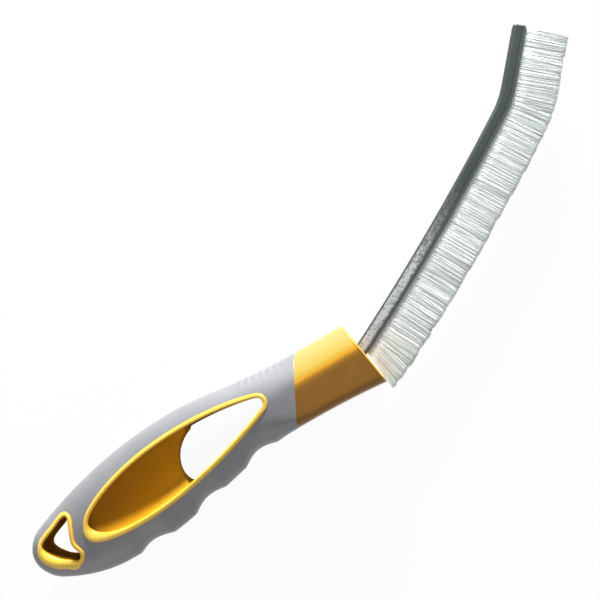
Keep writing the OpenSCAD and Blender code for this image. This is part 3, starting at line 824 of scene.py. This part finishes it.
def channel_loop():
    """The channel's section as a closed loop of out and z: outside, lips, and inside."""
    out, z = channel_section(0.0)
    inner_back, inner_side = -STRIP_HALF_HEIGHT + STRIP_GAUGE, STRIP_HALF_WIDTH - STRIP_GAUGE
    lip, mouth = STRIP_HALF_HEIGHT - LIP_DEPTH, ROOT_HALF_WIDTH + 0.1
    inner_out = [STRIP_HALF_HEIGHT, lip, lip - LIP_FOLD, inner_back + 0.5, inner_back]
    inner_z = [mouth, mouth, inner_side, inner_side, inner_side - 0.5]
    half = np.column_stack([np.concatenate([out, inner_out]), np.concatenate([z, inner_z])])
    return np.concatenate([half, [[inner_back, 0.0]], half[:0:-1] * [1, -1]])


def channel_plug():
    """The channel's closed end: its outside, drawn in over a quarter circle."""
    ends = [(0.0, STRIP_VISIBLE - PLUG_LENGTH)]
    for turn in np.linspace(0.0, np.pi / 2, 7):
        inset, short = PLUG_ROUND * (1 - math.cos(turn)), PLUG_ROUND * (1 - math.sin(turn))
        ends.append((inset, STRIP_VISIBLE - short))
    rings = []
    for inset, at in ends:
        out, z = channel_section(inset)
        rings.append(on_strip(
            at, np.concatenate([out, out[:0:-1]]), np.concatenate([z, -z[:0:-1]])))
    return closed_tube(np.array(rings))


def channel_piece(look, material):
    """The channel: its section carried along the strip, and a rounded plug that ends it."""
    loop = channel_loop()
    stations = np.linspace(TANG_FROM, STRIP_VISIBLE - PLUG_LENGTH, 180)
    points, faces = closed_tube(on_strip(stations[:, None], loop[None, :, 0], loop[None, :, 1]))
    # Painted sheen: strongest across the middle of each side and near the handle, fading along the
    # strip; faint on the plug
    sheen_across = np.tile(1 - smooth((np.abs(loop[:, 0] + 0.2) - 1.1) / 0.9), len(stations))
    sheen_along = np.repeat(1 - smooth((stations - SHEEN_FROM) / SHEEN_FADE), len(loop))
    plug_points, plug_faces = channel_plug()
    painted_sheen = np.concatenate([
        0.1 + 0.9 * sheen_across * sheen_along, [0.0, 0.0], np.full(len(plug_points), 0.12)])
    faces = faces + [[k + len(points) for k in face] for face in plug_faces]
    points = np.vstack([points, plug_points])
    channel = add_piece(
        "channel_shell", points, faces, material, ["strip_channel"], STEEL_CREASE)
    paint(channel, "painted_sheen", painted_sheen)
    return channel


def wire_piece(material):
    """The wire that holds the folded filaments against the channel's back."""
    stations = np.linspace(TANG_FROM, STRIP_VISIBLE - WIRE_SHORT, 120)
    turn = np.arange(16) / 16 * 2 * np.pi
    out = STRIP_GAUGE + WIRE_RADIUS - STRIP_HALF_HEIGHT + WIRE_RADIUS * np.cos(turn)
    points, faces = closed_tube(on_strip(stations[:, None], out, WIRE_RADIUS * np.sin(turn)))
    return add_piece("held_wire", points, faces, material, ["core_wire"])


def gathered(s, z, first, look, random):
    """What the tufts, in two sizes, do to each filament: its pull, its length and its shade.

    A filament is drawn to its tuft's middle, and each tuft has its own spread of all three.
    """
    pull, longer, duller = 0.0, 0.0, 0.0
    for multiple, strength in TUFT_SIZES:
        pitch = multiple * look.tuft_pitch * MM
        tuft = np.floor((s - first) / pitch + 0.25 * np.sin(3.1 * z)).astype(int)
        spread = random.normal(size=(3, tuft.max() - tuft.min() + 1))[:, tuft - tuft.min()]
        centre = first + (tuft + 0.5) * pitch
        pull = pull + strength * (centre - s) + TUFT_PULL * spread[0]
        longer = longer + TUFT_LENGTH * spread[1]
        duller = duller + TUFT_SHADE * spread[2]
    return pull, longer, duller


def filament_faces(count):
    """Quads round each filament, and a triangle at each of its ends."""
    rings, sides = len(FILAMENT_STEPS), FILAMENT_SIDES
    i, j, k = np.meshgrid(
        np.arange(count), np.arange(rings - 1), np.arange(sides), indexing="ij")
    base, right = (i * rings + j) * sides, (k + 1) % sides
    quads = np.stack([base + k, base + right, base + sides + right, base + sides + k], -1)
    foot = np.arange(count)[:, None] * rings * sides
    tips = foot + (rings - 1) * sides + np.arange(sides)
    ends = (foot + np.arange(sides)[::-1]).tolist() + tips.tolist()
    return quads.reshape(-1, 4).tolist() + ends


def filament_shade(s, duller, random):
    """Shade of each filament at its steps: by its tuft, darker to the tip and near the neck."""
    steps, duller = FILAMENT_STEPS[None, :, None], duller[:, None, None]
    own = random.normal(0, SHADE_SPREAD, len(s))[:, None, None]
    shade = ROOT_SHADE + (DULLER_SHADE * duller + own) * steps
    outer = smooth((steps - OUTER_FROM) / (1 - OUTER_FROM))
    shade = shade + OUTER_SHADE * outer * (1 + 2 * duller)
    return shade + NECK_SHADE * (1 - smooth(s / NECK_SHADE_FADE))[:, None, None]


def bristle_piece(name, node, first, last, look, material, seed):
    """A stretch of bristles: thin three-sided filaments from the mouth, gathered in tufts.

    Each has its root at random in the mouth, its own lean and length, and a slight bow. Its
    tip is drawn towards the middle of its tuft, and the first ones lean back to the neck.
    """
    random = np.random.default_rng(seed)
    count = int(look.filaments * (last - first) / (LAST_BRISTLE - FIRST_BRISTLE))
    s = first + (last - first) * (np.arange(count) + random.random(count)) / count
    z = ROOT_HALF_WIDTH * (2 * random.random(count) - 1)
    lean = -NECK_LEAN * np.maximum(0.0, 1 - s / NECK_LEAN_FADE) ** 2
    past = np.maximum(0.0, (s - STRIP_VISIBLE + END_LEAN_FADE) / END_LEAN_FADE)
    lean = lean - END_LEAN * past
    pull, longer, duller = gathered(s, z, first, look, random)
    heading = np.radians(np.interp(s, STRIP_LENGTHS, STRIP_HEADINGS))
    tilt = heading - np.pi / 2 + np.radians(lean + random.normal(0, LEAN_SPREAD, count))
    trim = look.bristle_length * MM
    reach = trim + longer + random.normal(0, LENGTH_SPREAD, count)
    reach = (np.minimum(reach, trim + LONGEST) + ROOT_DEPTH)[:, None, None]
    root = on_strip(s, STRIP_HALF_HEIGHT - ROOT_DEPTH, z)
    steps = FILAMENT_STEPS[None, :, None]
    along = np.stack([np.cos(tilt), np.sin(tilt), 0 * tilt], -1)[:, None]
    across = np.stack([np.cos(heading), np.sin(heading), 0 * heading], -1)[:, None]
    upright = np.array([0.0, 0.0, 1.0])
    bow = random.normal(0, BOW_SPREAD, count)[:, None, None]
    drift = (0.16 * z + random.normal(0, DRIFT_SPREAD, count))[:, None, None]
    middle = root[:, None] + reach * steps * along
    middle = middle + across * (pull[:, None, None] * steps**2 + bow * steps * (1 - steps))
    middle = middle + upright * drift * steps**2
    radius = (look.filament_width * MM / 2 * FILAMENT_TAPER)[None, :, None, None]
    turn = random.random(count)[:, None, None, None] * 2 * np.pi
    turn = turn + (np.arange(FILAMENT_SIDES) * 2 * np.pi / FILAMENT_SIDES)[None, None, :, None]
    side = across[:, :, None] * np.cos(turn) + upright * np.sin(turn)
    points = middle[:, :, None] + radius * side
    piece = add_piece(
        name, points, filament_faces(count), material, [node], crease=180.0)
    shade = filament_shade(s, duller, random)
    paint(piece, "shade", np.repeat(shade, FILAMENT_SIDES, 2))
    return piece


# Settings


def length(name, description, metres):
    """A length property in metres."""
    return FloatProperty(
        name=name, description=description, default=metres, min=0.0, precision=5,
        subtype="DISTANCE", unit="LENGTH")


def number(name, description, value):
    """A plain number property."""
    return FloatProperty(name=name, description=description, default=value)


def colour(name, description, red, green, blue):
    """A colour property in linear light."""
    return FloatVectorProperty(
        name=name, description=description, default=(red, green, blue), size=3, min=0.0,
        max=1.0, subtype="COLOR")


class HandleSettings(PropertyGroup):
    rim_width: length("Rim Width", "Width of the bead round each opening", 0.0018)
    rim_extra: length("Wide Side", "What the bead gains towards the lower butt", 0.0023)
    rim_height: length("Rim Height", "How far the bead stands above the grip", 0.0007)
    edge_round: length("Grip Edge", "Radius of the grip's front edge", 0.0006)
    neck_edge_round: length("Neck Edge", "Radius round the neck's face", 0.0008)
    rib_height: length("Rib Height", "Height of the ribs across the spine", 0.00035)
    rib_pitch: length("Rib Pitch", "From one spine rib to the next", 0.003)
    web_depth: length("Web Depth", "From the grip's skin down to the web's brim", 0.0023)
    # Painted shade and painted light on the thumb web, at the butt and towards its free edge
    scoop_shade: number("Scoop Dark", "Glow at the butt", 0.26)
    scoop_lit: number("Scoop Light", "Glow at the edge", 0.54)
    grip_colour: colour("Grip", "Soft grip", 0.22, 0.224, 0.236)
    # Amber along the painted light: the deepest is painted shade, deep the plain amber, and the
    # three after it lit copies for painted light and highlights
    amber_shade: colour("Amber Shade", "Deepest amber", 0.08, 0.026, 0.002)
    amber_deep: colour("Deep Amber", "Amber on thick flats", 0.245, 0.108, 0.011)
    amber_half_lit: colour("Warm Amber", "Amber where a form turns", 0.72, 0.33, 0.014)
    amber_lit: colour("Bright Amber", "Amber near an edge", 0.86, 0.55, 0.055)
    amber_lit_pale: colour("Milky Amber", "Palest amber", 0.62, 0.56, 0.26)
    # Lit copies of the amber for the painted light on the neck's upper flank and top
    neck_lit: colour("Neck Bright", "Upper flank of the neck", 0.51, 0.345, 0.042)
    neck_lit_pale: colour("Neck Pale", "Top of the neck", 0.34, 0.27, 0.09)


class StripSettings(PropertyGroup):
    # The mid and pale steel show where the sheen on the channel is painted; the pale one is also the
    # wire's own colour
    steel_dark: colour("Dark Steel", "Channel away from the handle", 0.06, 0.073, 0.073)
    steel_mid: colour("Mid Steel", "Half worn channel", 0.2, 0.21, 0.215)
    steel_pale: colour("Pale Steel", "Worn channel and wire", 0.5, 0.52, 0.51)
    filaments: IntProperty(name="Filaments", description="Bristles in all", default=15000, min=1)
    filament_width: length("Filament", "Thickness of one bristle", 0.0002)
    bristle_length: length("Bristle Length", "From the mouth to the trim", 0.0161)
    tuft_pitch: length("Tuft Pitch", "From one tuft to the next", 0.0011)
    fibre_white: colour("White Nylon", "Clear filaments", 0.96, 1.0, 0.99)
    fibre_mid: colour("Mid Nylon", "Most filament ends", 0.84, 0.89, 0.865)
    fibre_dull: colour("Dull Nylon", "Shaded filaments", 0.55, 0.58, 0.565)
    fibre_lift: number("Fibre Lift", "Light through nylon", 0.06)


class StageSettings(PropertyGroup):
    floor_colour: colour("Floor", "Plain pale floor", 0.93, 0.93, 0.93)
    sky_level: number("Sky", "Light from all round", 0.42)
    key_power: number("Key Light", "Light past the spine", 38.0)
    fill_power: number("Fill Light", "Light opposite", 1.2)
    lamp_size: length("Lamp Size", "Side of each light", 0.38)
    camera_height: length("Camera Height", "From mid-thickness to the camera", 0.36)
    focal_length: number("Focal Length", "In millimetres", 56.75)


class BrushSettings(PropertyGroup):
    handle: PointerProperty(type=HandleSettings, name="Handle", description="Grip and core")
    strip: PointerProperty(type=StripSettings, name="Strip", description="Channel and bristles")
    stage: PointerProperty(type=StageSettings, name="Stage", description="Light and camera")


# Operators


class CREVICE_OT_make_grip(Operator):
    """Make the soft grip with its grooves, ribs and both openings"""

    bl_idname = "crevice_brush.make_grip"
    bl_label = "Make Grip"

    def execute(self, context):
        look = context.scene.crevice_brush.handle
        grip_piece(look, satin_rubber(look))
        return {"FINISHED"}


class CREVICE_OT_make_core(Operator):
    """Make the amber core: the neck, both rims and the thumb web"""

    bl_idname = "crevice_brush.make_core"
    bl_label = "Make Core"

    def execute(self, context):
        look = context.scene.crevice_brush.handle
        # Lit copies of the amber for painted light and highlights on the beads, walls and web
        pale = look.amber_lit, look.amber_lit_pale
        amber = amber_plastic(look, "amber_plastic", 0.3, 0.35, *pale)
        inside = amber_plastic(look, "amber_inside", 0.9, 0.0, *pale)
        # The neck's own lit copies for its painted light
        neck_lit_pale = look.neck_lit, look.neck_lit_pale
        neck_piece(look, amber_plastic(look, "amber_neck_lit", 0.3, 0.35, *neck_lit_pale))
        # The last number is the painted shade on each opening's wall
        rim_piece("opening_rim", leaf_edge(360), look, amber, inside, 0.16)
        rim_piece("hang_hole_rim", hang_edge(220), look, amber, inside, 0.17)
        web_piece(look, inside)
        return {"FINISHED"}


class CREVICE_OT_make_strip(Operator):
    """Make the steel channel and the wire inside it"""

    bl_idname = "crevice_brush.make_strip"
    bl_label = "Make Strip"

    def execute(self, context):
        look = context.scene.crevice_brush.strip
        channel_piece(look, dull_steel(look))
        wire_piece(drawn_wire(look))
        return {"FINISHED"}


class CREVICE_OT_make_bristles(Operator):
    """Make the three stretches of bristles"""

    bl_idname = "crevice_brush.make_bristles"
    bl_label = "Make Bristles"

    def execute(self, context):
        look = context.scene.crevice_brush.strip
        fibre = nylon(look)
        bounds = [FIRST_BRISTLE, *BRISTLE_SPLITS, LAST_BRISTLE]
        for seed, part in enumerate(("lower", "middle", "tip")):
            name, node = f"bristle_fill_{part}", f"bristles_{part}"
            bristle_piece(name, node, bounds[seed], bounds[seed + 1], look, fibre, seed + 5)
        return {"FINISHED"}


def backdrop_rays(tree):
    """1 for rays that should see the plain white ground: camera, mirror and glass rays."""
    path = add_node(tree, "ShaderNodeLightPath").outputs
    seen = math_node(tree, "MAXIMUM", path["Is Camera Ray"], path["Is Glossy Ray"])
    return math_node(tree, "MAXIMUM", seen, path["Is Transmission Ray"])


class CREVICE_OT_set_stage(Operator):
    """Set the floor, the light and the camera straight above the brush"""

    bl_idname = "crevice_brush.set_stage"
    bl_label = "Set Stage"

    def execute(self, context):
        look, scene = context.scene.crevice_brush.stage, context.scene
        scene.view_settings.view_transform = "Standard"
        self.set_camera(scene, look)
        self.set_floor(look)
        self.set_light(scene, look)
        return {"FINISHED"}

    def set_camera(self, scene, look):
        """Camera above the brush, turned so that the brush rises to the right."""
        lens = bpy.data.cameras.new("camera")
        lens.sensor_width, lens.lens = 36.0, look.focal_length
        camera = add_object("camera", lens)
        camera.location = placed(np.array([*CAMERA_OVER, look.camera_height * MM])).tolist()
        back = (camera.location - Vector(placed(np.array([*CAMERA_AIM, 0.0])).tolist())).normalized()
        right = Vector((math.sin(CAMERA_ROLL), math.cos(CAMERA_ROLL), 0.0)).cross(back).normalized()
        turned = Matrix((right, back.cross(right), back)).transposed()
        camera.rotation_euler = turned.to_euler()
        scene.camera = camera

    def set_floor(self, look):
        """Pale floor that the camera sees as near white, with the shadow left in it."""
        half = 3.0
        mesh = bpy.data.meshes.new("floor")
        corners = [(-half, -half, 0), (half, -half, 0), (half, half, 0), (-half, half, 0)]
        mesh.from_pydata(corners, [], [(0, 1, 2, 3)])
        material, tree, shader, where = new_material(
            "pale_floor", roughness=0.9, specular_ior_level=0.0)
        dimmer = [0.97 * c for c in look.floor_colour]
        coloured(tree, shader, noise(tree, where, 4.0), [(0.3, dimmer), (0.7, look.floor_colour)])
        white = add_node(tree, "ShaderNodeEmission", {"Strength": 1.0}).outputs[0]
        share = math_node(tree, "MULTIPLY", backdrop_rays(tree), 0.94)
        both = add_node(tree, "ShaderNodeMixShader", {0: share, 1: shader.outputs[0], 2: white})
        tree.links.new(both.outputs[0], tree.nodes["Material Output"].inputs["Surface"])
        mesh.materials.append(material)
        floor = add_object("floor", mesh)

    def set_light(self, scene, look):
        """Even sky, a strong light on the spine's side and a weak one opposite."""
        world = bpy.data.worlds.new("studio")
        scene.world = world
        world.use_nodes = True
        tree = world.node_tree
        tree.nodes.clear()
        level = add_node(tree, "ShaderNodeMapRange", {
            "Value": backdrop_rays(tree), "To Min": look.sky_level, "To Max": 1.0})
        sky = add_node(tree, "ShaderNodeBackground", {"Strength": level.outputs[0]})
        sky.inputs["Color"].default_value = (1.0, 1.0, 1.0, 1.0)
        output = add_node(tree, "ShaderNodeOutputWorld")
        tree.links.new(sky.outputs[0], output.inputs["Surface"])
        for name, place, power in (
                ("key", KEY_PLACE, look.key_power), ("fill", FILL_PLACE, look.fill_power)):
            lamp = bpy.data.lights.new(name, "AREA")
            lamp.energy, lamp.size = power, look.lamp_size
            holder = add_object(name, lamp)
            holder.location = place
            holder.rotation_euler = (-place).to_track_quat("-Z", "Y").to_euler()
            holder.visible_camera = False


class CREVICE_PT_panel(Panel):
    """Lists the brush's settings and the steps that make it"""

    bl_label = "Crevice Brush"
    bl_idname = "CREVICE_PT_panel"
    bl_space_type = "VIEW_3D"
    bl_region_type = "UI"
    bl_category = "Brush"

    def draw(self, context):
        settings = context.scene.crevice_brush
        for group in (settings.handle, settings.strip, settings.stage):
            box = self.layout.box()
            for key in group.__annotations__:
                box.prop(group, key)
        for step in STEPS:
            self.layout.operator(step.bl_idname)


STEPS = (
    CREVICE_OT_make_grip,
    CREVICE_OT_make_core,
    CREVICE_OT_make_strip,
    CREVICE_OT_make_bristles,
    CREVICE_OT_set_stage,
)
GROUPS = (HandleSettings, StripSettings, StageSettings, BrushSettings)


def register():
    for kind in (*GROUPS, *STEPS, CREVICE_PT_panel):
        bpy.utils.register_class(kind)
    bpy.types.Scene.crevice_brush = PointerProperty(type=BrushSettings)


def unregister():
    del bpy.types.Scene.crevice_brush
    for kind in reversed((*GROUPS, *STEPS, CREVICE_PT_panel)):
        bpy.utils.unregister_class(kind)


def main():
    """Register the classes and run every step."""
    register()
    for step in STEPS:
        name = step.bl_idname.split(".")[1]
        if getattr(bpy.ops.crevice_brush, name)() != {"FINISHED"}:
            raise RuntimeError(f"{step.bl_label} did not finish")


if __name__ == "__main__":
    main()
